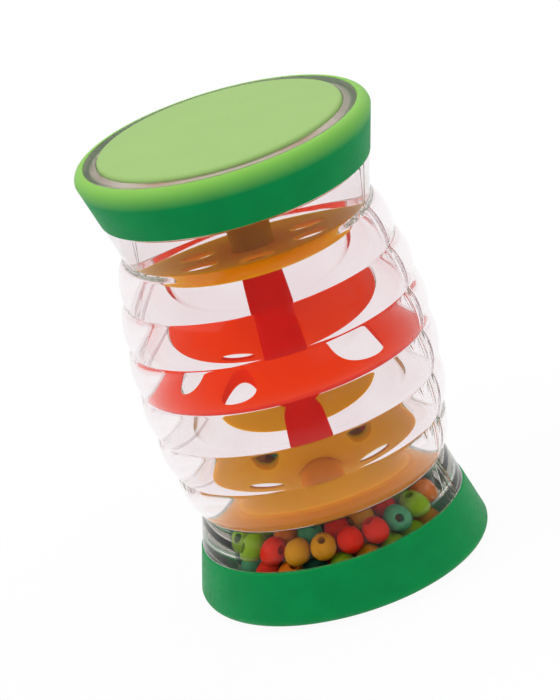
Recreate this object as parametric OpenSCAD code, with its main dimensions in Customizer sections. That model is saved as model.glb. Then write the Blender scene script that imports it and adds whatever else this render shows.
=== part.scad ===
// Tube shaker: a clear ribbed barrel in two halves, held together by two grip rings.
// Three trays on a stacked column let loose beads trickle from end to end.
// Millimetres, +Z up, standing on the lower end pad with the axis on Z.
// The seam between the two halves lies in the XZ plane.

/* [Barrel] */
// Number of ribs between the two waists
rib_count = 6; // [4:2:8]
// Height of one rib, from crease to crease
rib_pitch = 12.5; // [11:0.5:14]
// How far a rib swells out past its two creases
rib_bulge = 1.4; // [0.8:0.1:2]
// Radius of the crease at mid-height
barrel_radius = 39.9; // [37:0.1:44]
// Radius of the long curve that the creases follow
barrel_curve = 121; // [110:1:160]
// Wall thickness at a crease
wall = 2.5; // [2:0.1:3]
// Wall thickness at the waist, inside which the neck has a straight bore
neck_wall = 1.6; // [1.4:0.05:2.4]
// Height of the neck, from the last crease to the grip ring
neck_length = 11; // [9:0.5:14]
// How much wider the neck is at the grip ring than at the waist
neck_flare = 2.8; // [2.4:0.1:4]

/* [Shell ends] */
// Height of the groove that a grip ring sits in
seat_length = 12.4; // [10:0.2:16]
// Depth of that groove below the neck
seat_depth = 1.3; // [0.8:0.1:1.6]
// Height of the flange that keeps the grip ring on
flange_height = 2.8; // [2.4:0.1:4]
// How far the flange stands out from the groove
flange_overhang = 1.9; // [1:0.1:2.5]
// Width of the clear rim that shows around an end pad
clear_rim = 3.8; // [3:0.1:6]
// Depth of the recess that an end pad sits in
recess_depth = 4.5; // [3:0.1:5]
// Thickness of the end wall under the recess
end_wall = 2; // [1.5:0.1:3]
// Height of the boss that holds the foot of the column
boss_height = 4; // [3:0.5:6]
// Wall thickness of that boss
boss_wall = 2; // [1.5:0.1:2.5]

/* [Seam] */
// Width of the tongue on the rear half
tongue_width = 0.7; // [0.5:0.05:0.9]
// How far the tongue reaches into the front half
tongue_reach = 0.8; // [0.5:0.1:1.2]
// How far short of the waists the tongue ends
tongue_stop = 2; // [1:0.5:4]
// Room around the tongue in its groove
tongue_room = 0.1; // [0.05:0.01:0.15]

/* [Grip rings and end pads] */
// How far the ring's lower edge stands out from the neck
ring_edge = 0.3; // [0.1:0.1:1]
// Radius of the rounded lip of a ring
lip_round = 3; // [2.4:0.1:4]
// How far a pad stands out from the end of the shell
pad_rise = 1.3; // [0.8:0.1:2]
// Radius of the pad's rounded edge
pad_round = 1.1; // [0.4:0.1:1.2]
// Room between pieces that are pushed together
fit_room = 0.1; // [0.05:0.01:0.2]

/* [Column] */
// Outer diameter of the column
column_d = 11.4; // [10:0.2:13]
// Bore of the end trays' hubs
hub_bore = 8; // [6.5:0.1:8.5]
// Length of the middle hub, from shoulder to shoulder
middle_hub_length = 46; // [40:0.4:52]
// Length of the spigots on the middle hub
spigot_length = 5; // [3:0.5:8]
// Bore through the middle hub
middle_bore = 5; // [3:0.5:5.5]

/* [Trays] */
// Room between the middle tray's edge and the barrel
tray_room = 0.4; // [0.3:0.05:0.8]
// Room between an end tray's edge and the neck's bore
end_tray_room = 1.5; // [0.4:0.1:2]
// Thickness of a tray's plate
tray_floor = 1.2; // [0.8:0.1:1.4]
// Thickness of the rim under a tray's edge
tray_rim = 1.8; // [1.2:0.1:2.4]
// Radius of the rounded edge of a tray
tray_round = 0.6; // [0.3:0.1:0.7]
// Depth of the upper tray with its rim
upper_tray_depth = 3.7; // [2:0.1:6]
// Depth of the lower tray with its rim
lower_tray_depth = 4.2; // [2:0.1:6]
// Depth of the middle tray with its rim
middle_tray_depth = 1.6; // [1.5:0.1:3]
// Height of the middle tray's flat face above mid-height
middle_tray_height = 0.8; // [0.5:0.1:2]
// How far below the upper waist the upper tray's flat face lies
upper_tray_setback = 1.6; // [0:0.1:3]
// How far above the lower waist the lower tray's rim ends
lower_tray_setback = 0.2; // [0:0.1:2]

/* [Passages] */
// Number of passages in each end tray
end_passages = 6; // [4:1:7]
// Radius of the circle that they lie on
end_passage_circle = 17; // [15:0.5:19]
// Diameter of an ordinary passage
passage_d = 9.4; // [8:0.2:10]
// Diameter of the one wide passage in the middle tray
wide_passage_d = 13.4; // [11:0.1:14]
// Distance of the middle tray's ordinary passages from its edge, centre to edge
passage_inset = 10; // [7.5:0.1:11]
// Distance of its wide passage from its edge, centre to edge
wide_passage_inset = 12.5; // [10:0.1:14]
// Direction of the first passage in the upper tray
upper_tray_turn = -66; // [-90:1:90]
// Direction of the first passage in the lower tray
lower_tray_turn = -7; // [-90:1:90]

/* [Beads] */
// Diameter of a bead
bead_d = 7; // [6:0.1:7.4]
// Diameter of the hole through a bead
bead_bore = 2.2; // [1.5:0.1:3]
// Room between neighbouring beads
bead_room = 0.15; // [0.1:0.01:0.3]
// Most that a bead of the top layer lies above its neighbours
top_scatter = 0.8; // [0:0.1:1.2]
// Least height that the top layer can hop before it meets the lower tray
hop_height = 5; // [1:0.1:5.5]
// Turn of the whole heap about the column
heap_turn = 3; // [-7:1:7]
// Seed of the way the holes point and of how high each loose bead lies
bead_seed = 18; // [1:1:99]

/* [Hidden] */
$fn = 96;

// Heights below are measured from mid-height, and half_height lifts the model onto z = 0
waist_z = rib_count * rib_pitch / 2;
neck_z = waist_z + neck_length;
flange_z = neck_z + seat_length;
shell_z = flange_z + flange_height;
recess_z = shell_z - recess_depth;
cavity_z = recess_z - end_wall;
half_height = shell_z + pad_rise;

// The creases and the inner wall lie on arcs about one centre
curve_centre = barrel_radius - barrel_curve;
inner_curve = barrel_curve - wall;
function crease_radius(z) = curve_centre + sqrt(barrel_curve * barrel_curve - z * z);
function inner_radius(z) = curve_centre + sqrt(inner_curve * inner_curve - z * z);

waist_radius = crease_radius(waist_z);
neck_radius = waist_radius + neck_flare;
neck_bore = waist_radius - neck_wall;
seat_radius = neck_radius - seat_depth;
flange_radius = seat_radius + flange_overhang;
pad_radius = flange_radius - clear_rim;
ring_bore = seat_radius + fit_room;
lip_bore = flange_radius + fit_room;
ring_radius = lip_bore + lip_round;
column_r = column_d / 2;
boss_bore = column_r + fit_room;
shoulder_z = middle_hub_length / 2;
spigot_r = hub_bore / 2 - fit_room;

// The tongue lies in the middle of the wall's thickness
tongue_in = inner_curve + (wall - tongue_width) / 2;
tongue_out = tongue_in + tongue_width;

// The lower tray's rim ends at lower_rim_z, and every tray has its flat face up
upper_face_z = waist_z - upper_tray_setback;
lower_rim_z = lower_tray_setback - waist_z;
lower_face_z = lower_rim_z + lower_tray_depth;
end_tray_radius = neck_bore - end_tray_room;
middle_reach_z = max(middle_tray_height, middle_tray_depth - middle_tray_height);
middle_tray_radius = inner_radius(middle_reach_z) - tray_room;

// The middle tray's passages: their circles, and the polar angles of the ordinary ones and the wide one
passage_circle = middle_tray_radius - passage_inset;
wide_passage_circle = middle_tray_radius - wide_passage_inset;
passage_angles = [-134, -98, 141];
wide_passage_angle = -19;

// Beads lie in rings round the column, each layer in the hollows of the one below
bead_pitch = bead_d + bead_room;
outer_ring_r = neck_bore - bead_room - bead_d / 2;
inner_ring_r = column_r + boss_wall + fit_room + bead_room + bead_d / 2;
bead_rings = floor((outer_ring_r - inner_ring_r) / bead_pitch) + 1;
bead_floor = -cavity_z + bead_room + bead_d / 2;
function ring_r(ring) = outer_ring_r - ring * bead_pitch;
function ring_count(ring) = floor(180 / asin(bead_pitch / 2 / ring_r(ring)));
function half_chord(ring) = ring_r(ring) * sin(180 / ring_count(ring));
function layer_rise(ring) = sqrt(pow(bead_pitch, 2) - pow(half_chord(ring), 2));

// As many layers as the lower chamber holds under the hop: a bed, and one loose layer on it
chamber_height = cavity_z + lower_rim_z;
highest_rise = max([for (ring = [0 : bead_rings - 1]) layer_rise(ring)]);
stack_room = chamber_height - bead_d - 2 * bead_room - top_scatter - hop_height;
bed_layers = max(1, floor(stack_room / highest_rise));

// One number for each bead, which picks its own random values from the seeded lists
function bead_index(layer, ring, k) = (layer * bead_rings + ring) * most_in_ring + k;
most_in_ring = ring_count(0);
bead_total = (bed_layers + 1) * bead_rings * most_in_ring;
tilt_pick = rands(0, 180, bead_total, bead_seed + 1);
turn_pick = rands(0, 360, bead_total, bead_seed + 2);
lift_pick = rands(0, 1, bead_total, bead_seed + 3);

// Colours round a turn: 0 red, 1 orange, 2 ochre, 3 lime, 4 teal, 5 green.
// A bead takes the colour at its own angle, and each ring further in starts some places on.
top_colours = [5, 4, 0, 2, 5, 0, 3, 4, 1, 5, 0, 2, 4, 5, 3, 3, 0, 2, 2, 0, 0, 4, 3, 1];
bed_colours = [4, 0, 5, 1, 3, 2, 0, 4, 5, 3, 1, 0, 2, 4, 5, 4, 0, 1, 5, 3, 2, 3, 3, 2];
ring_step = 7;
function ring_turn(layer, ring, k) = (k + layer / 2) / ring_count(ring);
function colour_place(layer, ring, k) = floor(ring_turn(layer, ring, k) * 24 + 0.01) + ring_step * ring;
function colour_at(layer, ring, k) =
    (layer == bed_layers ? top_colours : bed_colours)[colour_place(layer, ring, k) % 24];

grip_green = [0.02, 0.53, 0.26];
pad_green = [0.64, 0.82, 0.48];
shell_clear = [0.92, 0.9, 0.92, 0.35];
tray_orange = [0.82, 0.5, 0.1];
tray_red = [0.88, 0.2, 0.1];
bead_colours = [
    [0.86, 0.2, 0.14],
    [0.86, 0.5, 0.16],
    [0.8, 0.6, 0.18],
    [0.49, 0.65, 0.16],
    [0.3, 0.6, 0.46],
    [0.1, 0.3, 0.23]
];

// Circle through the two creases of one rib, whose outer arc is the rib
module rib_outline(low_z) {
    high_z = low_z + rib_pitch;
    low_r = crease_radius(low_z);
    high_r = crease_radius(high_z);
    chord = norm([high_r - low_r, rib_pitch]);
    rib_r = (chord * chord / 4 + rib_bulge * rib_bulge) / (2 * rib_bulge);
    back = rib_r - rib_bulge;
    centre_r = (low_r + high_r) / 2 - back * rib_pitch / chord;
    centre_z = (low_z + high_z) / 2 + back * (high_r - low_r) / chord;
    translate([centre_r, centre_z]) circle(rib_r);
}

// One end: a flared neck rooted in the last rib, the groove for the grip ring, and the flange
module end_outline() {
    root_z = waist_z - rib_bulge;
    root_r = waist_radius - rib_bulge * neck_flare / neck_length;
    polygon([[0, root_z], [root_r, root_z], [neck_radius, neck_z], [0, neck_z]]);
    translate([0, neck_z - wall]) square([seat_radius, shell_z - neck_z + wall]);
    translate([0, flange_z]) square([flange_radius, flange_height]);
}

// What is hollow: the smooth inner wall, the straight necks and the pads' recesses.
// Each end wall keeps a boss for the foot of the column.
module hollow_outline() {
    difference() {
        union() {
            intersection() {
                translate([curve_centre, 0]) circle(inner_curve, $fn = 360);
                translate([-barrel_radius, -cavity_z]) square([2 * barrel_radius, 2 * cavity_z]);
            }
            translate([0, -cavity_z]) square([neck_bore, 2 * cavity_z]);
        }
        for (side = [0, 1]) mirror([0, side]) translate([boss_bore, cavity_z - boss_height])
            square([boss_wall, 2 * boss_height]);
    }
    for (side = [0, 1]) mirror([0, side]) translate([0, recess_z])
        square([pad_radius + fit_room, 2 * recess_depth]);
}

module shell_outline() {
    difference() {
        union() {
            for (k = [0 : rib_count - 1]) rib_outline(k * rib_pitch - waist_z);
            for (side = [0, 1]) mirror([0, side]) end_outline();
        }
        hollow_outline();
    }
}

// Tongue along both seams, rooted in the rear wall, or with room around it its groove
module seam_tongue(room) {
    half_length = waist_z - tongue_stop + room;
    for (side = [0, 1]) mirror([side, 0, 0]) translate([0, tongue_width, 0])
        rotate([90, 0, 0]) linear_extrude(tongue_width + tongue_reach + room) intersection() {
            difference() {
                translate([curve_centre, 0]) circle(tongue_out + room, $fn = 360);
                translate([curve_centre, 0]) circle(tongue_in - room, $fn = 360);
            }
            translate([0, -half_length]) square([barrel_radius, 2 * half_length]);
        }
}

module front_shell() {
    color(shell_clear) translate([0, 0, half_height]) difference() {
        rotate([0, 0, 180]) rotate_extrude(angle = 180) shell_outline();
        seam_tongue(tongue_room);
    }
}

module rear_shell() {
    color(shell_clear) translate([0, 0, half_height]) {
        rotate_extrude(angle = 180) shell_outline();
        seam_tongue(0);
    }
}

// Ring with a rounded lip, seated in the shell's groove and over its flange
module grip_ring() {
    lip_z = shell_z - lip_round;
    color(grip_green) rotate_extrude() difference() {
        union() {
            polygon([
                [ring_bore, neck_z], [neck_radius + ring_edge, neck_z],
                [ring_radius, lip_z], [ring_bore, lip_z]
            ]);
            translate([lip_bore, lip_z]) circle(lip_round);
        }
        square([ring_bore, shell_z]);
        translate([0, flange_z]) square([lip_bore, flange_height + lip_round]);
    }
}

module top_grip_ring() {
    translate([0, 0, half_height]) grip_ring();
}

module bottom_grip_ring() {
    translate([0, 0, half_height]) mirror([0, 0, 1]) grip_ring();
}

// Disc with a rounded outer edge, from z = 0 up
module round_disc(radius, height, edge) {
    rotate_extrude() {
        square([radius, height - edge]);
        square([radius - edge, height]);
        translate([radius - edge, height - edge]) circle(edge);
    }
}

module end_pad() {
    color(pad_green) translate([0, 0, recess_z])
        round_disc(pad_radius, recess_depth + pad_rise, pad_round);
}

module top_end_pad() {
    translate([0, 0, half_height]) end_pad();
}

module bottom_end_pad() {
    translate([0, 0, half_height]) mirror([0, 0, 1]) end_pad();
}

// Round plate with its flat face up at z = 0, and a rim that hangs under its edge
module tray_plate(plate_r, depth) {
    difference() {
        translate([0, 0, -depth]) round_disc(plate_r, depth, tray_round);
        translate([0, 0, -2 * depth]) cylinder(r = plate_r - tray_rim, h = 2 * depth - tray_floor);
    }
}

// Cutter for one hole through such a plate
module passage(angle, circle_r, diameter, depth) {
    rotate(angle) translate([circle_r, 0, -2 * depth]) cylinder(d = diameter, h = 3 * depth);
}

// Plate with its share of the column, from the middle hub's shoulder out to the end wall.
// End 0 is the upper one, 1 the lower one.
module end_tray(end, face_z, depth, turn) {
    color(tray_orange) translate([0, 0, half_height]) difference() {
        union() {
            translate([0, 0, face_z]) difference() {
                tray_plate(end_tray_radius, depth);
                for (k = [0 : end_passages - 1])
                    passage(turn + k * 360 / end_passages, end_passage_circle, passage_d, depth);
            }
            mirror([0, 0, end]) translate([0, 0, shoulder_z])
                cylinder(r = column_r, h = cavity_z - shoulder_z);
        }
        mirror([0, 0, end]) translate([0, 0, shoulder_z - end_wall])
            cylinder(d = hub_bore, h = cavity_z - shoulder_z + 2 * end_wall);
    }
}

module upper_tray() {
    end_tray(0, upper_face_z, upper_tray_depth, upper_tray_turn);
}

module lower_tray() {
    end_tray(1, lower_face_z, lower_tray_depth, lower_tray_turn);
}

// Plate at mid-height, with a hub whose spigots plug into the end trays' hubs
module middle_tray() {
    color(tray_red) translate([0, 0, half_height]) difference() {
        union() {
            translate([0, 0, middle_tray_height]) difference() {
                tray_plate(middle_tray_radius, middle_tray_depth);
                for (angle = passage_angles) passage(angle, passage_circle, passage_d, middle_tray_depth);
                passage(wide_passage_angle, wide_passage_circle, wide_passage_d, middle_tray_depth);
            }
            translate([0, 0, -shoulder_z]) cylinder(r = column_r, h = middle_hub_length);
            translate([0, 0, -shoulder_z - spigot_length])
                cylinder(r = spigot_r, h = middle_hub_length + 2 * spigot_length);
        }
        translate([0, 0, -middle_hub_length])
            cylinder(d = middle_bore, h = 2 * middle_hub_length);
    }
}

module bead(index) {
    rotate([tilt_pick[index], 0, turn_pick[index]]) difference() {
        sphere(d = bead_d, $fn = 48);
        cylinder(d = bead_bore, h = 2 * bead_d, center = true, $fn = 24);
    }
}

// Every bead of one colour in the layers from first to last
module bead_set(colour, first, last) {
    color(bead_colours[colour]) translate([0, 0, half_height])
        for (layer = [first : last], ring = [0 : bead_rings - 1])
            for (k = [0 : ring_count(ring) - 1]) {
                index = bead_index(layer, ring, k);
                lift = layer == bed_layers ? top_scatter * lift_pick[index] : 0;
                if (colour_at(layer, ring, k) == colour)
                    rotate(heap_turn + 360 * ring_turn(layer, ring, k))
                        translate([ring_r(ring), 0, bead_floor + layer * layer_rise(ring) + lift])
                            bead(index);
            }
}

module bed_beads(colour) {
    bead_set(colour, 0, bed_layers - 1);
}

module top_beads(colour) {
    bead_set(colour, bed_layers, bed_layers);
}

front_shell();
rear_shell();
top_grip_ring();
bottom_grip_ring();
top_end_pad();
bottom_end_pad();
upper_tray();
middle_tray();
lower_tray();
bed_beads(0);  // red_bed_beads
bed_beads(1);  // orange_bed_beads
bed_beads(2);  // ochre_bed_beads
bed_beads(3);  // lime_bed_beads
bed_beads(4);  // teal_bed_beads
bed_beads(5);  // green_bed_beads
top_beads(0);  // red_top_beads
top_beads(1);  // orange_top_beads
top_beads(2);  // ochre_top_beads
top_beads(3);  // lime_top_beads
top_beads(4);  // teal_top_beads
top_beads(5);  // green_top_beads
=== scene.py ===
"""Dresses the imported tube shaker: clear shells, grip rings, end pads, trays and loose beads."""

import math

import bmesh
import bpy
import numpy as np
from bpy.props import FloatProperty, FloatVectorProperty, IntProperty, PointerProperty
from bpy.types import Operator, Panel, PropertyGroup
from mathutils import Matrix, Quaternion, Vector


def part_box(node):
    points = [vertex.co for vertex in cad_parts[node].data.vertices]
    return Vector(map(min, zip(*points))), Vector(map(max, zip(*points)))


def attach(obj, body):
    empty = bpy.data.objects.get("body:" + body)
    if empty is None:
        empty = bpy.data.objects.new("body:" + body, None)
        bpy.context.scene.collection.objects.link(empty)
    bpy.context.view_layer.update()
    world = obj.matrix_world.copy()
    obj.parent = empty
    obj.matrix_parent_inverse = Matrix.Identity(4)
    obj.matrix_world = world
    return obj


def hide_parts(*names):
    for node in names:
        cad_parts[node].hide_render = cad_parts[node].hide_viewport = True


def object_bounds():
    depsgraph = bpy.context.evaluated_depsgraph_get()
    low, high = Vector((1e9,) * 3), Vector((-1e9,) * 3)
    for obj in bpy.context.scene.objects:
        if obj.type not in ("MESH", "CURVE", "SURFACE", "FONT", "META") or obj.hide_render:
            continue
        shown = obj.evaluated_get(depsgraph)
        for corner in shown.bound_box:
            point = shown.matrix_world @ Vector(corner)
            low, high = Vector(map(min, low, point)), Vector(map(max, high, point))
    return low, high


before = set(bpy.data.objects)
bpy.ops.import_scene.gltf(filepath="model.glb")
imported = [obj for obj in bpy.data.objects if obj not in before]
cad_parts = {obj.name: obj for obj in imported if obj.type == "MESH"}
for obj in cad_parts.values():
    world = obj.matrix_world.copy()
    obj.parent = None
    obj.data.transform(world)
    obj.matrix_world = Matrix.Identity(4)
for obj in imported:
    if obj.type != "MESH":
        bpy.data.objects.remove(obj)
CAD_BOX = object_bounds()

bl_info = {
    "name": "Tube Shaker",
    "version": (1, 0, 0),
    "blender": (4, 5, 0),
    "location": "View3D > Sidebar > Shaker",
    "description": "Finished pieces, materials and stage for a clear tube shaker with loose beads",
    "category": "Object",
}

MM = 0.001
MIDDLE = (CAD_BOX[0].z + CAD_BOX[1].z) / 2
ENDS = {"top": 1, "bottom": -1}
BEAD_COLOURS = ("red", "orange", "ochre", "lime", "teal", "green")
BEAD_BODIES = {"bed": "bead_bed", "top": "bead_top_layer"}

# Steps of a full turn
RING_STEPS, PAD_STEPS, FLOOR_STEPS, BEAD_STEPS = 256, 192, 96, 24

# Range that most of the noise lies in
NOISE_LOW, NOISE_HIGH = 0.3, 0.7

# Name, width in metres, power in watts and place in metres of each lamp
LAMPS = (
    ("key lamp", 0.9, 4.5, (-0.6, -0.6, 0.95)),
    ("fill lamp", 1.0, 2.0, (0.9, -0.4, 0.5)),
    ("back lamp", 0.9, 2.0, (0.1, 0.9, 0.9)),
)


# Properties

def length(name, description, millimetres):
    """A length property, written in millimetres."""
    return FloatProperty(
        name=name, description=description, default=millimetres * MM, unit="LENGTH", precision=5)


def degrees(name, description, value):
    """An angle property, written in degrees."""
    return FloatProperty(
        name=name, description=description, default=math.radians(value), subtype="ANGLE")


def portion(name, description, value):
    """A property that is a share of something."""
    return FloatProperty(name=name, description=description, default=value, subtype="FACTOR")


def plain_number(name, description, value):
    """A property without a unit."""
    return FloatProperty(name=name, description=description, default=value)


def whole_number(name, description, value, least=0):
    """A property that counts something."""
    return IntProperty(name=name, description=description, default=value, min=least)


def linear(red, green, blue):
    """Scene colour of a display colour that is given from 0 to 255."""
    shares = (channel / 255 for channel in (red, green, blue))
    return tuple(s / 12.92 if s <= 0.04045 else ((s + 0.055) / 1.055) ** 2.4 for s in shares)


def colour(name, description, *display):
    """A colour property, written as a display colour."""
    return FloatVectorProperty(
        name=name, description=description, default=linear(*display),
        size=3, min=0, max=1, subtype="COLOR")


class ShellSizes(PropertyGroup):
    """Sizes of the two clear half shells."""
    rib_count: whole_number("Ribs", "Number of ribs between the waists", 6, 1)
    rib_pitch: length("Rib pitch", "Height of one rib, from crease to crease", 12.5)
    rib_bulge: length("Rib bulge", "How far a rib swells out past its creases", 1.4)
    barrel_radius: length("Barrel radius", "Radius of the crease at mid-height", 39.9)
    barrel_curve: length("Barrel curve", "Radius of the long curve that the creases follow", 121)
    wall: length("Wall", "Wall thickness at a crease", 2.5)
    neck_wall: length("Neck wall", "Wall thickness at the waist", 1.6)
    neck_flare: length("Neck flare", "How much the neck widens from the waist to the ring", 2.8)
    seat_depth: length("Seat depth", "Depth of the groove that a grip ring sits in", 1.3)
    flange_height: length("Flange height", "Height of the flange that keeps the ring on", 2.8)
    flange_overhang: length("Flange overhang", "How far the flange stands out from the groove", 1.9)
    end_wall: length("End wall", "Thickness of the wall under an end pad", 2)
    boss_bore: length("Boss bore", "Radius of the bore that holds the column's foot", 5.8)
    boss_wall: length("Boss wall", "Wall thickness of that boss", 2)
    boss_height: length("Boss height", "Height of that boss", 4)
    fit_room: length("Fit room", "Room between pieces that are pushed together", 0.1)
    tongue_width: length("Tongue width", "Width of the tongue along the seam", 0.7)
    tongue_reach: length("Tongue reach", "How far the tongue reaches into the front half", 0.8)
    tongue_stop: length("Tongue stop", "How far short of the waists the tongue ends", 2)
    seam_gap: length("Seam gap", "Hairline of air between the two halves", 0.1)
    seam_soft: length("Seam softness", "Rounding of the edges along the seam", 0.18)
    crease_soft: length("Crease softness", "Rounding of the creases between the ribs", 0.3)
    edge_soft: length("Edge softness", "Rounding of the moulded edges", 0.35)


class RingSizes(PropertyGroup):
    """Sizes of the grip rings and end pads that the frame doesn't give."""
    lip_round: length("Lip round", "Radius of the rounded lip of a ring", 3)
    lip_bore: length("Lip bore", "Radius inside the lip", 37.44)
    ring_bore: length("Ring bore", "Radius inside the ring's seat", 35.54)
    ring_foot: length("Ring foot", "Radius of the ring's edge on the neck", 37.04)
    edge_soft: length("Edge softness", "Rounding of the ring's edges", 0.5)
    pad_round: length("Pad round", "Radius of the pad's rounded edge", 1.1)
    pad_crown: length("Pad crown", "How much lower the pad's edge lies than its middle", 0.25)


class BeadSizes(PropertyGroup):
    """Sizes of a bead."""
    diameter: length("Diameter", "Diameter of a bead", 7)
    bore: length("Bore", "Diameter of the hole through a bead", 2.2)
    mouth: length("Mouth", "Rounding of the mouths of that hole", 0.25)
    spread: portion("Spread", "How much smaller a bead may be, as a share", 0.012)
    seed: whole_number("Seed", "Seed of the spread of bead sizes", 4)


class Finishes(PropertyGroup):
    """Colours of the plastics, with painted light on the top ring's lip and the trays' faces,
    painted shade on the trays' column, and where they change.
    """
    clear_pale: colour("Clear, pale", "Tint of the clear plastic", 247, 242, 243)
    clear_deep: colour("Clear, deep", "Tint where it is a little deeper", 243, 235, 237)
    clear_rim: colour("Clear rim", "Tint of the satin faces at the ends", 236, 220, 200)
    satin_start: length("Satin start", "How far below the ends the satin faces begin", 0.3)
    satin_full: length("Satin full", "How far below the ends they are fully satin", 0.1)
    satin_roughness: portion("Satin roughness", "Roughness of the satin faces", 0.45)
    ring_side: colour("Ring side", "Green of a grip ring's side", 0, 142, 74)
    # Lip green: painted light, a paler green that stands in for light from above on the top lip;
    # the fade sets how far down it reaches
    ring_lip: colour("Ring lip", "Green of a grip ring's lip", 148, 206, 94)
    painted_lip_light_fade: length("Lip fade", "Height over which the side's green turns into the lip's", 5.7)
    pad: colour("End pad", "Pale green of an end pad", 168, 206, 123)
    orange_tray: colour("Orange trays", "Orange of the upper and lower trays", 218, 134, 4)
    red_tray: colour("Red tray", "Red of the middle tray", 236, 44, 3)
    # Face colours: painted sheen, paler than the trays' own colour, given to the faces that look up
    orange_face: colour("Orange face", "Flat faces of the end trays", 242, 160, 34)
    red_face: colour("Red face", "Flat face of the middle tray", 244, 60, 4)
    # Column colours: painted shade, darker than the trays' own colour, given near the axis
    orange_column: colour("Orange column", "Ends of the column", 212, 130, 6)
    red_column: colour("Red column", "Middle of the column", 212, 18, 2)
    column_shade_reach: length("Column reach", "How far from the axis the column's colour reaches", 5.75)
    column_shade_fade: length("Column fade", "Distance over which that colour ends", 0.2)
    red_bead: colour("Red beads", "Colour of the red beads", 212, 36, 6)
    orange_bead: colour("Orange beads", "Colour of the orange beads", 218, 118, 12)
    ochre_bead: colour("Ochre beads", "Colour of the ochre beads", 198, 140, 12)
    lime_bead: colour("Lime beads", "Colour of the lime beads", 132, 176, 24)
    teal_bead: colour("Teal beads", "Colour of the teal beads", 68, 152, 104)
    green_bead: colour("Green beads", "Colour of the dark green beads", 14, 60, 44)


class StageSizes(PropertyGroup):
    """Camera, floor and light."""
    azimuth: degrees("Azimuth", "How far the camera stands to the right of the front", 24)
    elevation: degrees("Elevation", "How far the camera looks down", 20.2)
    roll: degrees("Roll", "How far the shaker leans to the left in the picture", 16.7)
    distance: length("Distance", "From the camera to the shaker's middle", 1000)
    sensor: plain_number("Sensor", "Height of the camera's sensor in millimetres", 36)
    picture_height: whole_number("Picture height", "Height of the picture in pixels", 700, 1)
    picture_scale: plain_number("Picture scale", "Pixels to a metre at the shaker's middle", 3728)
    middle_right: plain_number(
        "Middle right", "Pixels from the picture's middle right to the shaker's", 4.4)
    middle_up: plain_number("Middle up", "Pixels from the picture's middle up to the shaker's", 1.1)
    floor_radius: length("Floor radius", "Radius of the pale floor", 150)
    floor_drop: length("Floor drop", "How far the floor lies under the shaker", 0.2)
    shadow: portion("Shadow", "Share of the shadow that the floor shows", 0.05)
    plain_light: plain_number("Plain light", "Level of the light from all round", 0.62)
    front_gloss: plain_number("Front gloss", "Level that gloss shows on the camera's side", 0.12)
    bounces: whole_number("Bounces", "How often light may be reflected or let through", 96)


class ShakerSettings(PropertyGroup):
    """All that a user may change."""
    shell: PointerProperty(type=ShellSizes)
    ring: PointerProperty(type=RingSizes)
    bead: PointerProperty(type=BeadSizes)
    finish: PointerProperty(type=Finishes)
    stage: PointerProperty(type=StageSizes)


def settings():
    return bpy.context.scene.shaker


# Meshes

def link(name, data):
    """A new object in the scene, at the origin."""
    piece = bpy.data.objects.new(name, data)
    bpy.context.scene.collection.objects.link(piece)
    return piece


def soften(points, steps=4, room=3, beside=1.3):
    """Rounds the marked corners of a closed outline of points (radius, height, softness).

    A straight run longer than room times the softness gets a point of its own just past the
    rounding, at beside times the softness, which keeps the run flat in its shading.
    """
    outline = []
    for index, (radius, height, softness) in enumerate(points):
        here = Vector((radius, height))
        if not softness:
            outline.append(here)
            continue
        before = Vector(points[index - 1][:2]) - here
        after = Vector(points[(index + 1) % len(points)][:2]) - here
        start, end = (here + side.normalized() * softness for side in (before, after))
        if before.length > room * softness:
            outline.append(here + before.normalized() * softness * beside)
        for k in range(steps + 1):
            share = k / steps
            outline.append(start.lerp(here, share).lerp(here.lerp(end, share), share))
        if after.length > room * softness:
            outline.append(here + after.normalized() * softness * beside)
    return outline


def skin(mesh, rings, following):
    """Faces between each ring of points and the one after it."""
    for ring, after in zip(rings, following):
        for i in range(len(ring)):
            j = (i + 1) % len(ring)
            mesh.faces.new((ring[i], after[i], after[j], ring[j]))


def sweep(outline, steps):
    """A mesh of a closed outline of points (radius, height), turned once around the axis."""
    mesh = bmesh.new()
    rings = []
    for k in range(steps):
        turn = 2 * math.pi * k / steps
        cosine, sine = math.cos(turn), math.sin(turn)
        rings.append([mesh.verts.new((r * cosine, r * sine, height)) for r, height in outline])
    skin(mesh, rings, rings[1:] + rings[:1])
    return mesh


def finish_mesh(name, mesh, crease=30, merge=1e-7):
    """Merges doubles, turns the faces outwards and shades them smooth up to the crease angle."""
    bmesh.ops.remove_doubles(mesh, verts=mesh.verts, dist=merge)
    bmesh.ops.recalc_face_normals(mesh, faces=mesh.faces)
    data = bpy.data.meshes.new(name)
    mesh.to_mesh(data)
    mesh.free()
    data.shade_smooth()
    data.set_sharp_from_angle(angle=math.radians(crease))
    return data


def turned_piece(name, outline, side, steps, plastic):
    """A turned object, its outline measured from the middle: side 1 is the top, -1 the bottom."""
    placed = [Vector((point.x, MIDDLE + side * point.y)) for point in outline]
    piece = link(name, finish_mesh(name, sweep(placed, steps)))
    piece.data.materials.append(plastic)
    return piece


def arc(centre, radius, first, last, steps):
    """Points (radius, height) on an arc, with both ends."""
    angles = [first + (last - first) * k / steps for k in range(steps + 1)]
    return [(centre[0] + radius * math.cos(a), centre[1] + radius * math.sin(a)) for a in angles]


# Materials

def set_up(name):
    """A new material with its node tree and its main shader."""
    material = bpy.data.materials.new(name)
    material.use_nodes = True
    return material, material.node_tree, material.node_tree.nodes["Principled BSDF"]


def feed(tree, socket, value):
    """Links a socket to another node's output, or sets it to a value or a colour."""
    if isinstance(value, bpy.types.NodeSocket):
        tree.links.new(value, socket)
    elif socket.type == "RGBA":
        socket.default_value = (*value, 1)
    else:
        socket.default_value = value


def feed_all(tree, node, values):
    """Feeds a node's sockets, each given by its name or number."""
    for key, value in values.items():
        feed(tree, node.inputs[key], value)


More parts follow.
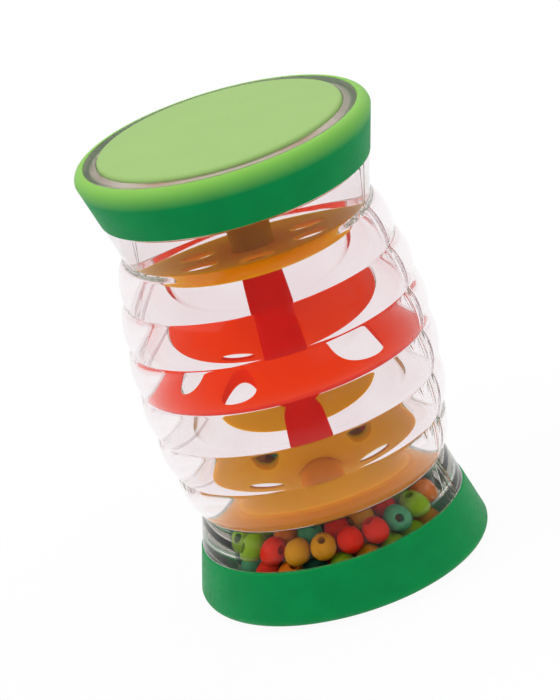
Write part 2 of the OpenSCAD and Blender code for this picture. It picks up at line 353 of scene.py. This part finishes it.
def add_node(tree, kind, values=None, **options):
    """A new node with its options set and its sockets fed."""
    node = tree.nodes.new(kind)
    for name, option in options.items():
        setattr(node, name, option)
    feed_all(tree, node, values or {})
    return node


def calculate(tree, operation, *values):
    """Result of a sum on numbers."""
    return add_node(tree, "ShaderNodeMath", dict(enumerate(values)), operation=operation).outputs[0]


def vector_length(tree, vector):
    return add_node(tree, "ShaderNodeVectorMath", {0: vector}, operation="LENGTH").outputs["Value"]


def own_places(tree):
    """The piece's own coordinates."""
    return add_node(tree, "ShaderNodeTexCoord").outputs["Object"]


def remap(tree, value, low, high, to_low, to_high):
    """Maps a number from one range to another, with its ends held."""
    ranges = {"From Min": low, "From Max": high, "To Min": to_low, "To Max": to_high}
    return add_node(tree, "ShaderNodeMapRange", {"Value": value, **ranges}).outputs["Result"]


def blend_colours(tree, share, first, second):
    """Colour between two, by a share."""
    values = {0: share, 6: first, 7: second}
    return add_node(tree, "ShaderNodeMix", values, data_type="RGBA").outputs[2]


def blend_numbers(tree, share, first, second):
    """Number between two, by a share."""
    values = {0: share, 2: first, 3: second}
    return add_node(tree, "ShaderNodeMix", values, data_type="FLOAT").outputs[0]


def speckle(tree, scale, detail=2):
    """Noise on the piece's own coordinates, scale in turns to a metre."""
    values = {"Vector": own_places(tree), "Scale": scale, "Detail": detail}
    return add_node(tree, "ShaderNodeTexNoise", values).outputs["Fac"]


def uneven(tree, scale, low=0, high=1, detail=2):
    """Number that varies with the noise between two."""
    return remap(tree, speckle(tree, scale, detail), NOISE_LOW, NOISE_HIGH, low, high)


def mottled(tree, rgb, scale, dark, light, detail=3):
    """Colour that varies with the noise between two shares of itself."""
    darker, lighter = (tuple(channel * share for channel in rgb) for share in (dark, light))
    return blend_colours(tree, uneven(tree, scale, detail=detail), darker, lighter)


def add_grain(tree, shader, scale, depth, strength):
    """Fine moulded grain, depth in metres."""
    values = {"Height": speckle(tree, scale, 3), "Distance": depth, "Strength": strength}
    feed(tree, shader.inputs["Normal"], add_node(tree, "ShaderNodeBump", values).outputs["Normal"])


def height_from_middle(tree):
    """Height above the shaker's middle, below it negative."""
    height = add_node(tree, "ShaderNodeSeparateXYZ", {"Vector": own_places(tree)}).outputs["Z"]
    return calculate(tree, "SUBTRACT", height, MIDDLE)


def clear_plastic(finish, end_z):
    """Clear polished plastic with a faint warm tint, satin on the faces at both ends."""
    material, tree, shader = set_up("clear plastic")
    tint = remap(tree, speckle(tree, 40), 0.35, 0.65, 0, 1)
    clear = blend_colours(tree, tint, finish.clear_pale, finish.clear_deep)
    reach = calculate(tree, "ABSOLUTE", height_from_middle(tree))
    at_end = remap(tree, reach, end_z - finish.satin_start, end_z - finish.satin_full, 0, 1)
    feed_all(tree, shader, {
        "Base Color": blend_colours(tree, at_end, clear, finish.clear_rim),
        "Roughness": remap(tree, at_end, 0, 1, 0, finish.satin_roughness),
        "Transmission Weight": 1,
        "IOR": 1.5,
        "Specular Tint": (0.3, 0.3, 0.3),
    })
    return material


def ring_plastic(finish, lip_top):
    """Satin green plastic with painted light: it turns paler towards the top lip, whose height is
    from the middle, as light from above would show it.
    """
    material, tree, shader = set_up("satin green plastic")
    # Painted highlight: the top ring's lip blends to the paler green towards its top; the bottom
    # ring's lip, below the middle, keeps the side's green
    lip = remap(tree, height_from_middle(tree), lip_top - finish.painted_lip_light_fade, lip_top, 0, 1)
    side = mottled(tree, finish.ring_side, 120, dark=0.92, light=1.06)
    feed_all(tree, shader, {
        "Base Color": blend_colours(tree, lip, side, finish.ring_lip),
        "Roughness": uneven(tree, 700, low=0.42, high=0.56),
        "Specular IOR Level": 0.1,
        "Subsurface Weight": 0.6,
        "Subsurface Radius": (0.25, 1, 0.4),
        "Subsurface Scale": 0.003,
    })
    add_grain(tree, shader, scale=2400, depth=0.00004, strength=0.6)
    return material


def pad_plastic(finish):
    """Matte pale green plastic with a fine grain."""
    material, tree, shader = set_up("matte pale green plastic")
    feed_all(tree, shader, {
        "Base Color": mottled(tree, finish.pad, 90, dark=0.985, light=1.01),
        "Roughness": uneven(tree, 900, low=0.55, high=0.68),
        "Specular IOR Level": 0.25,
    })
    add_grain(tree, shader, scale=2600, depth=0.00004, strength=0.7)
    return material


def moulded_plastic(name, rgb, roughness, shine, mottle, translucent=0, light_depth=0.003):
    """Moulded plastic with faint flow marks, which lets light in to light_depth, in metres."""
    material, tree, shader = set_up(name)
    feed_all(tree, shader, {
        "Base Color": mottled(tree, rgb, mottle, dark=0.93, light=1.05, detail=2),
        "Roughness": uneven(tree, 500, low=roughness, high=roughness + 0.1),
        "Specular IOR Level": shine,
        "Subsurface Weight": translucent,
        "Subsurface Radius": (1, 0.6, 0.2),
        "Subsurface Scale": light_depth,
    })
    return material


def tray_plastic(finish, tone, translucent, light_depth):
    """Plastic of a tray, with painted sheen that makes the faces that look up paler and painted
    shade that makes the column darker.
    """
    rim, face, column = (getattr(finish, f"{tone}_{part}") for part in ("tray", "face", "column"))
    material = moulded_plastic(
        f"glossy {tone} plastic", rim, roughness=0.4, shine=0, mottle=45,
        translucent=translucent, light_depth=light_depth)
    tree = material.node_tree
    base = tree.nodes["Principled BSDF"].inputs["Base Color"]
    # Painted sheen: faces that look up get the paler face colour, standing in for light and sheen
    # from above
    normal = add_node(tree, "ShaderNodeNewGeometry").outputs["Normal"]
    upwards = add_node(tree, "ShaderNodeSeparateXYZ", {"Vector": normal}).outputs["Z"]
    flat = remap(tree, upwards, 0.8, 0.98, 0, 1)
    faces = blend_colours(tree, flat, base.links[0].from_socket, face)
    # Painted shade: near the axis the column gets the darker column colour, standing in for the
    # shade on its sides
    flattened = {0: own_places(tree), 1: (1, 1, 0)}
    level = add_node(tree, "ShaderNodeVectorMath", flattened, operation="MULTIPLY").outputs[0]
    edge = finish.column_shade_reach + finish.column_shade_fade
    painted_column_shade = remap(tree, vector_length(tree, level), finish.column_shade_reach, edge, 1, 0)
    feed(tree, base, blend_colours(tree, painted_column_shade, faces, column))
    return material


# Clear shells

def rib_arc(low, high, bulge, steps=16):
    """Points of one rib between its two creases, from the upper one down, without the creases."""
    chord = math.dist(low, high)
    radius = (chord * chord / 4 + bulge * bulge) / (2 * bulge)
    back = radius - bulge
    rise, run = (high[1] - low[1]) / chord, (high[0] - low[0]) / chord
    centre = ((low[0] + high[0]) / 2 - back * rise, (low[1] + high[1]) / 2 + back * run)
    first = math.atan2(high[1] - centre[1], high[0] - centre[0])
    last = math.atan2(low[1] - centre[1], low[0] - centre[0])
    return arc(centre, radius, first, last, steps)[1:-1]


def mirrored(points):
    """The same points at the other end, in the opposite order."""
    return [(radius, -height, softness) for radius, height, softness in reversed(points)]


def shell_outline(shell, inner_steps=60):
    """Section of the shells, heights measured from the middle."""
    pad_low, pad_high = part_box("top_end_pad")
    neck_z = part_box("top_grip_ring")[0].z - MIDDLE
    shell_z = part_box("front_shell")[1].z - MIDDLE
    recess_z = pad_low.z - MIDDLE
    recess_r = pad_high.x + shell.fit_room
    flange_z = shell_z - shell.flange_height
    cavity_z = recess_z - shell.end_wall
    boss_z = cavity_z - shell.boss_height
    waist_z = shell.rib_count * shell.rib_pitch / 2
    curve_centre = shell.barrel_radius - shell.barrel_curve
    inner_curve = shell.barrel_curve - shell.wall

    def crease(height):
        return curve_centre + math.sqrt(shell.barrel_curve ** 2 - height ** 2), height

    waist_r = crease(waist_z)[0]
    neck_r = waist_r + shell.neck_flare
    seat_r = neck_r - shell.seat_depth
    flange_r = seat_r + shell.flange_overhang
    bore_r = waist_r - shell.neck_wall
    boss_r = shell.boss_bore + shell.boss_wall
    soft = shell.edge_soft
    end = [
        (0, recess_z, 0), (recess_r, recess_z, soft), (recess_r, shell_z, soft),
        (flange_r, shell_z, soft), (flange_r, flange_z, soft), (seat_r, flange_z, soft),
        (seat_r, neck_z, soft), (neck_r, neck_z, soft), (waist_r, waist_z, shell.crease_soft),
    ]
    ribs = []
    for k in reversed(range(shell.rib_count)):
        low = crease(k * shell.rib_pitch - waist_z)
        high = crease((k + 1) * shell.rib_pitch - waist_z)
        ribs += [(*point, 0) for point in rib_arc(low, high, shell.rib_bulge)]
        if k:
            ribs.append((*low, shell.crease_soft))
    # The barrel's inner wall runs into the neck's bore at this angle of its curve
    meeting = math.acos((bore_r - curve_centre) / inner_curve)
    run = arc((curve_centre, 0), inner_curve, -meeting, meeting, inner_steps)
    inner = [(*run[0], soft), *[(*point, 0) for point in run[1:-1]], (*run[-1], soft)]
    floor = [
        (0, -cavity_z, 0), (shell.boss_bore, -cavity_z, 0), (shell.boss_bore, -boss_z, soft),
        (boss_r, -boss_z, soft), (boss_r, -cavity_z, soft), (bore_r, -cavity_z, soft),
        (bore_r, -neck_z, soft),
    ]
    return soften(end + ribs + mirrored(end) + floor + inner + mirrored(floor))


def tongue_edge(shell, room, side, steps=40):
    """Edge of the seam's tongue, or with room of its groove: points (x, z) up and back down."""
    curve_centre = shell.barrel_radius - shell.barrel_curve
    inner = shell.barrel_curve - shell.wall + (shell.wall - shell.tongue_width) / 2 - room
    outer = inner + shell.tongue_width + 2 * room
    half = shell.rib_count * shell.rib_pitch / 2 - shell.tongue_stop + room
    heights = [half * (2 * k / steps - 1) for k in range(steps + 1)]
    up = [(curve_centre + math.sqrt(outer ** 2 - h * h), h) for h in heights]
    down = [(curve_centre + math.sqrt(inner ** 2 - h * h), h) for h in reversed(heights)]
    return [(side * x, h + MIDDLE) for x, h in up + down]


def close_seam(mesh, ring, edge, seam_y, reach):
    """Fills one flat face of the seam, with a tongue or a groove that runs towards the front."""
    rim = [mesh.edges.get((ring[i], ring[(i + 1) % len(ring)])) for i in range(len(ring))]
    near = [mesh.verts.new((x, seam_y, z)) for x, z in edge]
    far = [mesh.verts.new((x, seam_y - reach, z)) for x, z in edge]
    count = len(edge)
    for i in range(count):
        j = (i + 1) % count
        mesh.faces.new((near[i], near[j], far[j], far[i]))
    for i in range(count // 2 - 1):
        mesh.faces.new((far[i], far[i + 1], far[count - 2 - i], far[count - 1 - i]))
    rim += [mesh.edges.get((near[i], near[(i + 1) % count])) for i in range(count)]
    bmesh.ops.triangle_fill(mesh, use_beauty=True, use_dissolve=False, edges=rim)


def inward_normals(outline):
    """Direction into the material at each point of an outline that runs clockwise."""
    normals = []
    for index in range(len(outline)):
        along = outline[(index + 1) % len(outline)] - outline[index - 1]
        normals.append(Vector((along.y, -along.x)).normalized())
    return normals


def seam_rows(soft, steps, seam_steps=4):
    """Rows of a half turn: a few close to each seam at a set depth, the others at even angles."""
    def at_depth(depth, side):
        def place(radius):
            across = math.sqrt(max(0, radius * radius - depth * depth))
            return side * across, depth if radius else 0
        return place

    def at_angle(angle):
        return lambda radius: (radius * math.cos(angle), radius * math.sin(angle))

    depths = [soft * (1 - math.cos(math.pi / 2 * k / seam_steps)) for k in range(seam_steps + 1)]
    first = [at_depth(depth, 1) for depth in depths]
    last = [at_depth(depth, -1) for depth in reversed(depths)]
    return first + [at_angle(math.pi * k / steps) for k in range(1, steps)] + last


def half_shell(shell, name, side, room, steps=160):
    """One half of the barrel: side -1 is the front, 1 the rear."""
    half_gap, soft = shell.seam_gap / 2, shell.seam_soft
    seam_y = side * half_gap
    outline = shell_outline(shell)
    inwards = inward_normals(outline)
    mesh = bmesh.new()
    rings = []
    for row in seam_rows(soft, steps):
        ring = []
        for point, inward in zip(outline, inwards):
            x, depth = row(point.x)
            # Close to the seam the surface draws in, which rounds the seam's edges
            near = max(0, 1 - depth / soft)
            drawn_in = soft * (1 - math.sqrt(1 - near * near)) if point.x else 0
            x += math.copysign(1, x) * inward.x * drawn_in
            z = point.y + inward.y * drawn_in + MIDDLE
            ring.append(mesh.verts.new((x, side * (depth + half_gap), z)))
        rings.append(ring)
    skin(mesh, rings, rings[1:])
    for ring, x_side in ((rings[0], 1), (rings[-1], -1)):
        edge = tongue_edge(shell, room, x_side)
        close_seam(mesh, ring, edge, seam_y, shell.tongue_reach + room)
    return finish_mesh(name, mesh)


class SHAKER_OT_shells(Operator):
    """Make the two clear half shells with their ribs, necks, flanges and seam"""
    bl_idname = "shaker.shells"
    bl_label = "Clear shells"

    def execute(self, context):
        shell = settings().shell
        plastic = clear_plastic(settings().finish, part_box("front_shell")[1].z - MIDDLE)
        for node, side, room in (("front_shell", -1, shell.fit_room), ("rear_shell", 1, 0)):
            piece = link(f"clear_{node}", half_shell(shell, f"clear_{node}", side, room))
            piece.data.materials.append(plastic)
            # Lamps and sky light what is inside as if nothing stood around it
            piece.visible_shadow = False
            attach(piece, "shaker")
            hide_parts(node)
        return {"FINISHED"}


# Grip rings and end pads

def ring_outline(ring, neck_z, lip_top, flange_z, lip_steps=12):
    """Section of a grip ring, heights measured from the middle."""
    centre = (ring.lip_bore, lip_top - ring.lip_round)
    lip = arc(centre, ring.lip_round, 0, math.pi / 2, lip_steps)
    soft = ring.edge_soft
    return soften([
        (ring.ring_bore, neck_z, soft / 2), (ring.ring_foot, neck_z, soft),
        *[(*point, 0) for point in lip[:-1]], (*lip[-1], soft / 2),
        (ring.lip_bore, flange_z, 0), (ring.ring_bore, flange_z, 0),
    ])


class SHAKER_OT_grip_rings(Operator):
    """Make the two green grip rings with their rounded lips"""
    bl_idname = "shaker.grip_rings"
    bl_label = "Grip rings"

    def execute(self, context):
        low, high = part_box("top_grip_ring")
        neck_z, lip_top = low.z - MIDDLE, high.z - MIDDLE
        flange_z = lip_top - settings().shell.flange_height
        outline = ring_outline(settings().ring, neck_z, lip_top, flange_z)
        plastic = ring_plastic(settings().finish, lip_top)
        for end, side in ENDS.items():
            piece = turned_piece(f"green_{end}_grip_ring", outline, side, RING_STEPS, plastic)
            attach(piece, "shaker")
            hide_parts(f"{end}_grip_ring")
        return {"FINISHED"}


def pad_outline(ring, seat_z, top_z, pad_r, corner_steps=10, crown_steps=12, crown_power=4):
    """Section of an end pad with a soft crown, heights measured from the middle."""
    edge_z = top_z - ring.pad_crown - ring.pad_round
    corner_r = pad_r - ring.pad_round
    corner = arc((corner_r, edge_z), ring.pad_round, 0, math.pi / 2, corner_steps)
    crown = []
    for k in range(1, crown_steps + 1):
        share = 1 - k / crown_steps
        crown.append((corner_r * share, top_z - ring.pad_crown * share ** crown_power))
    return [Vector(point) for point in [(0, seat_z), (pad_r, seat_z), *corner, *crown]]


class SHAKER_OT_end_pads(Operator):
    """Make the two pale green end pads"""
    bl_idname = "shaker.end_pads"
    bl_label = "End pads"

    def execute(self, context):
        low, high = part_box("top_end_pad")
        outline = pad_outline(settings().ring, low.z - MIDDLE, high.z - MIDDLE, high.x)
        plastic = pad_plastic(settings().finish)
        for end, side in ENDS.items():
            piece = turned_piece(f"pale_{end}_end_pad", outline, side, PAD_STEPS, plastic)
            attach(piece, "shaker")
            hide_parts(f"{end}_end_pad")
        return {"FINISHED"}


# Trays

class SHAKER_OT_trays(Operator):
    """Give the three trays and their column their plastics"""
    bl_idname = "shaker.trays"
    bl_label = "Trays"

    def execute(self, context):
        finish = settings().finish
        orange = tray_plastic(finish, "orange", translucent=1, light_depth=0.009)
        red = tray_plastic(finish, "red", translucent=0.3, light_depth=0.003)
        for node, plastic in (("upper_tray", orange), ("middle_tray", red), ("lower_tray", orange)):
            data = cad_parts[node].data
            data.materials.clear()
            data.materials.append(plastic)
        return {"FINISHED"}


# Beads

def bead_mesh(bead, steps=12, mouth_steps=3, crease=50):
    """One bead of diameter 1 with rounded mouths, its hole along Z."""
    half_hole = math.asin(bead.bore / bead.diameter)
    soft = bead.mouth / bead.diameter
    turn = (math.pi - 2 * half_hole) / steps
    points = []
    for k in range(steps + 1):
        angle = half_hole + turn * k
        points.append((math.sin(angle) / 2, math.cos(angle) / 2, soft if k in (0, steps) else 0))
    return finish_mesh("bead", sweep(soften(points, mouth_steps), BEAD_STEPS), crease)


def bead_places(node, merge=1e-6):
    """Centre and hole direction of each bead in a node, read from its mesh."""
    mesh = bmesh.new()
    mesh.from_mesh(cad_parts[node].data)
    bmesh.ops.remove_doubles(mesh, verts=mesh.verts, dist=merge)
    seen = set()
    places = []
    for first in mesh.verts:
        if first in seen:
            continue
        seen.add(first)
        # The list grows while it is read, until it holds all that hangs together
        island = [first]
        for vert in island:
            for edge in vert.link_edges:
                other = edge.other_vert(vert)
                if other not in seen:
                    seen.add(other)
                    island.append(other)
        places.append(ball_and_hole(island))
    mesh.free()
    return places


def ball_and_hole(verts):
    """Centre of the ball that the points lie on, and the direction of the hole through it."""
    points = np.array([vert.co for vert in verts])
    start = points.mean(0)
    offsets = points - start
    rows = np.column_stack([2 * offsets, np.ones(len(offsets))])
    centre = start + np.linalg.lstsq(rows, (offsets ** 2).sum(1), rcond=None)[0][:3]
    inward = []
    for face in dict.fromkeys(face for vert in verts for face in vert.link_faces):
        if (np.array(face.calc_center_median()) - centre) @ face.normal < 0:
            inward.append(tuple(face.normal))
    return centre, np.linalg.svd(np.array(inward))[2][2]


def bead_tree():
    """Node tree that sets a bead on each point, with its hole along the point's own direction."""
    tree = bpy.data.node_groups.new("Beads on points", "GeometryNodeTree")
    inputs = {"Geometry": "Geometry", "Bead": "Object", "Diameter": "Float", "Spread": "Float",
              "Seed": "Int", "Plastic": "Material"}
    for name, kind in inputs.items():
        tree.interface.new_socket(name, in_out="INPUT", socket_type=f"NodeSocket{kind}")
    tree.interface.new_socket("Geometry", in_out="OUTPUT", socket_type="NodeSocketGeometry")
    given = add_node(tree, "NodeGroupInput").outputs
    bead = add_node(tree, "GeometryNodeObjectInfo", {"Object": given["Bead"]})
    hole = add_node(
        tree, "GeometryNodeInputNamedAttribute", {"Name": "hole"}, data_type="FLOAT_VECTOR")
    turn = add_node(
        tree, "FunctionNodeAlignRotationToVector", {"Vector": hole.outputs["Attribute"]}, axis="Z")
    draw = add_node(tree, "FunctionNodeRandomValue", {"Seed": given["Seed"]}, data_type="FLOAT")
    low, high = [slot for slot in draw.inputs if slot.enabled and slot.name in ("Min", "Max")]
    feed(tree, low, calculate(tree, "SUBTRACT", 1, given["Spread"]))
    feed(tree, high, 1)
    drawn = next(slot for slot in draw.outputs if slot.enabled)
    beads = add_node(tree, "GeometryNodeInstanceOnPoints", {
        "Points": given["Geometry"], "Instance": bead.outputs["Geometry"],
        "Rotation": turn.outputs["Rotation"],
        "Scale": calculate(tree, "MULTIPLY", drawn, given["Diameter"])})
    real = add_node(tree, "GeometryNodeRealizeInstances", {"Geometry": beads.outputs["Instances"]})
    coloured = add_node(tree, "GeometryNodeSetMaterial", {
        "Geometry": real.outputs["Geometry"], "Material": given["Plastic"]})
    add_node(tree, "NodeGroupOutput", {"Geometry": coloured.outputs["Geometry"]})
    return tree


def beads_of(node, tree, bead, plastic, sizes):
    """A plain mesh of all the beads of one CAD node."""
    places = bead_places(node)
    data = bpy.data.meshes.new(f"{node}_points")
    data.from_pydata([tuple(centre) for centre, _ in places], [], [])
    holes = data.attributes.new("hole", "FLOAT_VECTOR", "POINT")
    holes.data.foreach_set("vector", [number for _, hole in places for number in hole])
    points = link(f"{node}_points", data)
    modifier = points.modifiers.new("Beads", "NODES")
    modifier.node_group = tree
    values = {"Bead": bead, "Diameter": sizes.diameter, "Spread": sizes.spread, "Seed": sizes.seed,
              "Plastic": plastic}
    for socket in tree.interface.items_tree:
        if socket.in_out == "INPUT" and socket.name in values:
            modifier[socket.identifier] = values[socket.name]
    graph = bpy.context.evaluated_depsgraph_get()
    beads = bpy.data.meshes.new_from_object(points.evaluated_get(graph))
    beads.name = f"drilled_{node}"
    bpy.data.objects.remove(points)
    return beads


class SHAKER_OT_beads(Operator):
    """Make the drilled beads of each colour, in the bed and in the loose layer on it"""
    bl_idname = "shaker.beads"
    bl_label = "Beads"

    def execute(self, context):
        sizes, finish = settings().bead, settings().finish
        tree = bead_tree()
        bead = link("bead", bead_mesh(sizes))
        for name in BEAD_COLOURS:
            plastic = moulded_plastic(
                f"satin {name} plastic", getattr(finish, f"{name}_bead"),
                roughness=0.35, shine=0.04, mottle=260)
            for layer, body in BEAD_BODIES.items():
                node = f"{name}_{layer}_beads"
                data = beads_of(node, tree, bead, plastic, sizes)
                if not data.vertices:
                    raise RuntimeError(f"no beads were made for {node}")
                piece = link(f"drilled_{node}", data)
                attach(piece, body)
                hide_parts(node)
        bpy.data.objects.remove(bead)
        return {"FINISHED"}


# Stage

def camera_back(stage):
    """Direction from the shaker to the camera."""
    flat = math.cos(stage.elevation)
    return Vector((
        math.sin(stage.azimuth) * flat, -math.cos(stage.azimuth) * flat, math.sin(stage.elevation)))


def place_camera(stage):
    """Camera at the photograph's angle, rolled so that the shaker leans."""
    back = camera_back(stage)
    data = bpy.data.cameras.new("camera")
    camera = link("camera", data)
    camera.rotation_mode = "QUATERNION"
    turn = (-back).to_track_quat("-Z", "Y") @ Quaternion((0, 0, 1), -stage.roll)
    right, up = turn @ Vector((1, 0, 0)), turn @ Vector((0, 1, 0))
    offset = (right * stage.middle_right + up * stage.middle_up) / stage.picture_scale
    camera.rotation_quaternion = turn
    camera.location = Vector((0, 0, MIDDLE)) - offset + back * stage.distance
    data.sensor_fit = "VERTICAL"
    data.sensor_height = stage.sensor
    data.lens = stage.sensor * stage.picture_scale * stage.distance / stage.picture_height
    bpy.context.scene.camera = camera


def place_lamp(name, size, power, place):
    """Large soft lamp that points at the shaker's middle."""
    data = bpy.data.lights.new(name, "AREA")
    data.size = size
    data.energy = power
    lamp = link(name, data)
    lamp.location = place
    lamp.rotation_mode = "QUATERNION"
    lamp.rotation_quaternion = (lamp.location - Vector((0, 0, MIDDLE))).to_track_quat("Z", "Y")


def light_paths(tree, *names):
    """1 for the named kinds of ray, 0 for the others."""
    outputs = add_node(tree, "ShaderNodeLightPath").outputs
    total = outputs[names[0]]
    for name in names[1:]:
        total = calculate(tree, "MAXIMUM", total, outputs[name])
    return total


def white_surroundings(stage):
    """White backdrop, a plain level of light, and less gloss from the camera's side."""
    world = bpy.data.worlds.new("white surroundings")
    world.use_nodes = True
    tree = world.node_tree
    direction = add_node(tree, "ShaderNodeTexCoord").outputs["Generated"]
    towards = add_node(tree, "ShaderNodeVectorMath", {0: direction, 1: camera_back(stage)},
                       operation="DOT_PRODUCT")
    gloss = remap(tree, towards.outputs["Value"], -0.2, 0.5, 1, stage.front_gloss)
    level = blend_numbers(tree, light_paths(tree, "Is Glossy Ray"), stage.plain_light, gloss)
    seen = light_paths(tree, "Is Camera Ray", "Is Transmission Ray")
    feed_all(tree, tree.nodes["Background"], {
        "Color": (1, 1, 1), "Strength": blend_numbers(tree, seen, level, 1)})
    bpy.context.scene.world = world


def pale_floor_material(stage):
    """White floor that shows a part of the shadow and fades out at its edge."""
    material, tree, shader = set_up("pale floor")
    tint = blend_colours(tree, uneven(tree, 30), linear(246, 246, 246), linear(252, 252, 252))
    feed_all(tree, shader, {"Base Color": tint, "Roughness": 0.9})
    white = add_node(tree, "ShaderNodeEmission")
    seen = light_paths(tree, "Is Camera Ray", "Is Glossy Ray", "Is Transmission Ray")
    lit = add_node(tree, "ShaderNodeMixShader", {
        0: calculate(tree, "MULTIPLY", seen, 1 - stage.shadow),
        1: shader.outputs["BSDF"], 2: white.outputs["Emission"]})
    reach = vector_length(tree, own_places(tree))
    fade = remap(tree, reach, 0.6 * stage.floor_radius, 0.98 * stage.floor_radius, 0, 1)
    clear = add_node(tree, "ShaderNodeBsdfTransparent")
    edge = add_node(tree, "ShaderNodeMixShader", {
        0: fade, 1: lit.outputs["Shader"], 2: clear.outputs["BSDF"]})
    tree.links.new(edge.outputs["Shader"], tree.nodes["Material Output"].inputs["Surface"])
    return material


class SHAKER_OT_stage(Operator):
    """Set the camera, the lamps, the white surroundings and the pale floor"""
    bl_idname = "shaker.stage"
    bl_label = "Stage"

    def execute(self, context):
        stage = settings().stage
        place_camera(stage)
        for lamp in LAMPS:
            place_lamp(*lamp)
        white_surroundings(stage)
        mesh = bmesh.new()
        bmesh.ops.create_circle(
            mesh, cap_ends=True, segments=FLOOR_STEPS, radius=stage.floor_radius)
        data = bpy.data.meshes.new("pale floor")
        mesh.to_mesh(data)
        mesh.free()
        data.transform(Matrix.Translation((0, 0, -stage.floor_drop)))
        data.materials.append(pale_floor_material(stage))
        link("pale_floor", data)
        context.scene.view_settings.view_transform = "Standard"
        cycles = context.scene.cycles
        cycles.max_bounces = cycles.transmission_bounces = cycles.glossy_bounces = stage.bounces
        return {"FINISHED"}


class SHAKER_PT_pieces(Panel):
    """Lists the pieces of the shaker"""
    bl_idname = "SHAKER_PT_pieces"
    bl_label = "Tube shaker"
    bl_space_type = "VIEW_3D"
    bl_region_type = "UI"
    bl_category = "Shaker"

    def draw(self, context):
        for operator in OPERATORS:
            self.layout.operator(operator.bl_idname)


SIZES = (ShellSizes, RingSizes, BeadSizes, Finishes, StageSizes, ShakerSettings)
OPERATORS = (SHAKER_OT_stage, SHAKER_OT_shells, SHAKER_OT_grip_rings, SHAKER_OT_end_pads,
             SHAKER_OT_trays, SHAKER_OT_beads)


def register():
    for item in (*SIZES, *OPERATORS, SHAKER_PT_pieces):
        bpy.utils.register_class(item)
    bpy.types.Scene.shaker = PointerProperty(type=ShakerSettings)


def unregister():
    del bpy.types.Scene.shaker
    for item in reversed((*SIZES, *OPERATORS, SHAKER_PT_pieces)):
        bpy.utils.unregister_class(item)


def main():
    register()
    bpy.ops.shaker.stage()
    bpy.ops.shaker.shells()
    bpy.ops.shaker.grip_rings()
    bpy.ops.shaker.end_pads()
    bpy.ops.shaker.trays()
    bpy.ops.shaker.beads()


if __name__ == "__main__":
    main()
